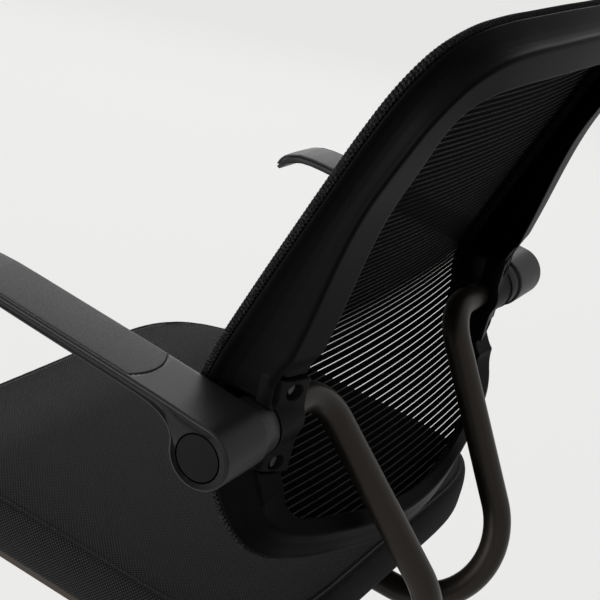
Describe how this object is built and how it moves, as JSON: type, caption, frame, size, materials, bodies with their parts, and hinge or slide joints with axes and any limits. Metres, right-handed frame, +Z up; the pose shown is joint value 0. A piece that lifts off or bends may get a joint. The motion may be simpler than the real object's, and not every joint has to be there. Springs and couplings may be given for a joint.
{
  "type": "conference chair",
  "caption": "Conference chair with a ribbed mesh back in a moulded channel frame, bent tube supports, flip-up padded arms, fabric seat, gas column and castor base.",
  "frame": {"origin": "floor level on the column axis, at the middle of the chair's footprint", "axes": "+Z up, the sitter faces -Y, +X towards the sitter's left"},
  "size_m": [0.5968, 0.6002, 0.9649],
  "materials": {
    "frame_plastic": "satin moulded",
    "bracket_plastic": "satin moulded",
    "arm_plastic": "satin moulded",
    "cap_plastic": "fine grain",
    "pad_rubber": "soft grain",
    "knit_trim": "knitted",
    "mesh_fabric": "ribbed knit",
    "seat_fabric": "fine woven grid",
    "tube_paint": "powder coated",
    "carrier_paint": "powder coated",
    "column_paint": "powder coated",
    "rod_chrome": "polished",
    "steel": "zinc plated",
    "bush_plastic": "natural",
    "board_wood": "stained ply",
    "base_plastic": "fine grain",
    "castor_plastic": "satin moulded"
  },
  "bodies": {
    "base": {"base_star": "base_plastic", "column_outer": "column_paint", "column_guide": "castor_plastic"},
    "lift": {"column_rod": "rod_chrome"},
    "upper": {"seat_carrier": "carrier_paint", "seat_board": "board_wood", "seat_screws": "steel", "seat_cushion": "seat_fabric", "tube_clamps": "carrier_paint", "clamp_screws": "steel", "tube_left": "tube_paint", "tube_right": "tube_paint", "bracket_left": "bracket_plastic", "bracket_right": "bracket_plastic", "bracket_cover_left": "bracket_plastic", "bracket_cover_right": "bracket_plastic", "bracket_screws": "steel", "back_frame": "frame_plastic", "mesh_trim": "knit_trim", "back_mesh": "mesh_fabric", "pivot_bolt_left": "steel", "pivot_bolt_right": "steel"},
    "lever": {"height_lever": "steel", "lever_knob": "castor_plastic"},
    "arm_left": {"arm_left": "arm_plastic", "arm_pad_left": "pad_rubber", "hub_cap_left": "cap_plastic", "pivot_bush_left": "bush_plastic"},
    "arm_right": {"arm_right": "arm_plastic", "arm_pad_right": "pad_rubber", "hub_cap_right": "cap_plastic", "pivot_bush_right": "bush_plastic"},
    "castor_1": {"castor_body_1": "castor_plastic", "castor_stem_1": "steel"},
    "wheels_1": {"castor_wheels_1": "castor_plastic", "castor_axle_1": "steel"},
    "castor_2": {"castor_body_2": "castor_plastic", "castor_stem_2": "steel"},
    "wheels_2": {"castor_wheels_2": "castor_plastic", "castor_axle_2": "steel"},
    "castor_3": {"castor_body_3": "castor_plastic", "castor_stem_3": "steel"},
    "wheels_3": {"castor_wheels_3": "castor_plastic", "castor_axle_3": "steel"},
    "castor_4": {"castor_body_4": "castor_plastic", "castor_stem_4": "steel"},
    "wheels_4": {"castor_wheels_4": "castor_plastic", "castor_axle_4": "steel"},
    "castor_5": {"castor_body_5": "castor_plastic", "castor_stem_5": "steel"},
    "wheels_5": {"castor_wheels_5": "castor_plastic", "castor_axle_5": "steel"}
  },
  "joints": [
    {"name": "height_slide", "type": "slide", "parent": "base", "child": "lift", "axis": [0, 0, 1], "range_m": [0, 0.09]},
    {"name": "seat_swivel", "type": "hinge", "parent": "lift", "child": "upper", "pos_m": [0, 0, 0.35], "axis": [0, 0, 1], "continuous": true},
    {"name": "arm_left_flip", "type": "hinge", "parent": "upper", "child": "arm_left", "pos_m": [0.27, 0.158, 0.628], "axis": [-1, 0, 0], "range_deg": [0, 85]},
    {"name": "arm_right_flip", "type": "hinge", "parent": "upper", "child": "arm_right", "pos_m": [-0.27, 0.158, 0.628], "axis": [-1, 0, 0], "range_deg": [0, 85]},
    {"name": "lever_lift", "type": "hinge", "parent": "upper", "child": "lever", "pos_m": [-0.0264, 0, 0.34615], "axis": [0, 1, 0], "range_deg": [0, 6], "stiffness_Nm_per_rad": 1.5, "springref_deg": -8.59},
    {"name": "castor_swivel_1", "type": "hinge", "parent": "base", "child": "castor_1", "pos_m": [0, -0.284, 0.06], "axis": [0, 0, 1], "continuous": true},
    {"name": "wheel_roll_1", "type": "hinge", "parent": "castor_1", "child": "wheels_1", "pos_m": [0, -0.264, 0.027], "axis": [1, 0, 0], "continuous": true},
    {"name": "castor_swivel_2", "type": "hinge", "parent": "base", "child": "castor_2", "pos_m": [0.2701, -0.08776, 0.06], "axis": [0, 0, 1], "continuous": true},
    {"name": "wheel_roll_2", "type": "hinge", "parent": "castor_2", "child": "wheels_2", "pos_m": [0.2701, -0.06776, 0.027], "axis": [1, 0, 0], "continuous": true},
    {"name": "castor_swivel_3", "type": "hinge", "parent": "base", "child": "castor_3", "pos_m": [0.16693, 0.22976, 0.06], "axis": [0, 0, 1], "continuous": true},
    {"name": "wheel_roll_3", "type": "hinge", "parent": "castor_3", "child": "wheels_3", "pos_m": [0.16693, 0.24976, 0.027], "axis": [1, 0, 0], "continuous": true},
    {"name": "castor_swivel_4", "type": "hinge", "parent": "base", "child": "castor_4", "pos_m": [-0.16693, 0.22976, 0.06], "axis": [0, 0, 1], "continuous": true},
    {"name": "wheel_roll_4", "type": "hinge", "parent": "castor_4", "child": "wheels_4", "pos_m": [-0.16693, 0.24976, 0.027], "axis": [1, 0, 0], "continuous": true},
    {"name": "castor_swivel_5", "type": "hinge", "parent": "base", "child": "castor_5", "pos_m": [-0.2701, -0.08776, 0.06], "axis": [0, 0, 1], "continuous": true},
    {"name": "wheel_roll_5", "type": "hinge", "parent": "castor_5", "child": "wheels_5", "pos_m": [-0.2701, -0.06776, 0.027], "axis": [1, 0, 0], "continuous": true}
  ]
}
